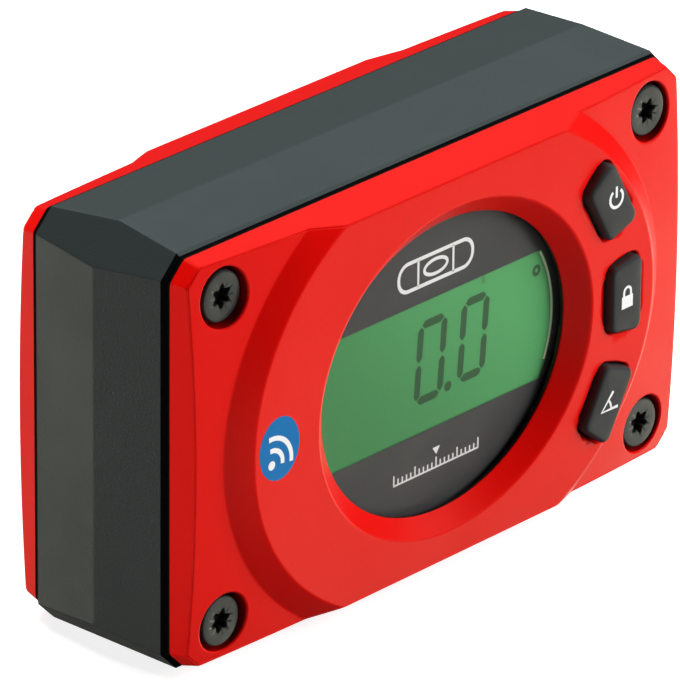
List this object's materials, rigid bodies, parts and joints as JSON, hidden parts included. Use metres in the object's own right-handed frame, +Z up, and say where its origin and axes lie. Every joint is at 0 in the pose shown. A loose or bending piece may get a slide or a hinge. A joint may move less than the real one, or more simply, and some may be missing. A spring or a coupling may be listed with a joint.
{
  "type": "digital level",
  "caption": "Pocket digital level: dark frame with a flat magnetic base between red moulded covers, round green display, side keys and a rear battery door.",
  "frame": {"origin": "middle of the flat measuring base, halfway between the frame's front and rear end faces", "axes": "+Z up from the base, +X along the width to the right as seen from the display side, the display faces -Y"},
  "size_m": [0.102, 0.0383, 0.0606],
  "materials": {
    "frame_plastic": "fine moulded grain",
    "red_plastic": "satin moulded grain",
    "seal_rubber": "matt",
    "key_rubber": "matt",
    "black_screw": "black oxide",
    "bezel_black": "satin",
    "window_clear": "clear",
    "lcd_green": "satin",
    "light_guide": "satin",
    "white_plastic": "matt",
    "connector_rubber": "matt",
    "board_green": "solder mask",
    "zinc_screw": "zinc",
    "chip_black": "matt",
    "shield_metal": "tinned",
    "switch_plastic": "matt",
    "plunger_plastic": "satin",
    "tray_plastic": "matt",
    "cell_wrap": "plain wrap",
    "contact_nickel": "nickel",
    "magnet_nickel": "nickel"
  },
  "bodies": {
    "housing": {"frame": "frame_plastic", "front_cover": "red_plastic", "rear_cover": "red_plastic", "front_gasket": "seal_rubber", "rear_gasket": "seal_rubber", "cover_screws": "black_screw", "window_bezel": "bezel_black", "display_window": "window_clear", "lcd_panel": "lcd_green", "lcd_backlight": "light_guide", "lcd_holder": "white_plastic", "lcd_connectors": "connector_rubber", "main_board": "board_green", "board_screws": "zinc_screw", "tilt_sensor": "chip_black", "processor_chip": "chip_black", "radio_module": "shield_metal", "buzzer": "chip_black", "switch_cans": "switch_plastic", "battery_tray": "tray_plastic", "battery_cells": "cell_wrap", "battery_contacts": "contact_nickel", "base_magnets": "magnet_nickel"},
    "power_button": {"power_key": "key_rubber", "power_plunger": "plunger_plastic"},
    "hold_button": {"hold_key": "key_rubber", "hold_plunger": "plunger_plastic"},
    "mode_button": {"mode_key": "key_rubber", "mode_plunger": "plunger_plastic"},
    "door": {"battery_door": "red_plastic", "door_gasket": "seal_rubber", "door_screw": "black_screw"}
  },
  "joints": [
    {"name": "power_press", "type": "slide", "parent": "housing", "child": "power_button", "axis": [0, 1, 0], "range_m": [0, 0.0008], "stiffness_N_per_m": 2500},
    {"name": "hold_press", "type": "slide", "parent": "housing", "child": "hold_button", "axis": [0, 1, 0], "range_m": [0, 0.0008], "stiffness_N_per_m": 2500},
    {"name": "mode_press", "type": "slide", "parent": "housing", "child": "mode_button", "axis": [0, 1, 0], "range_m": [0, 0.0008], "stiffness_N_per_m": 2500},
    {"name": "door_lift", "type": "slide", "parent": "housing", "child": "door", "axis": [0, 1, 0], "range_m": [0, 0.04]}
  ]
}
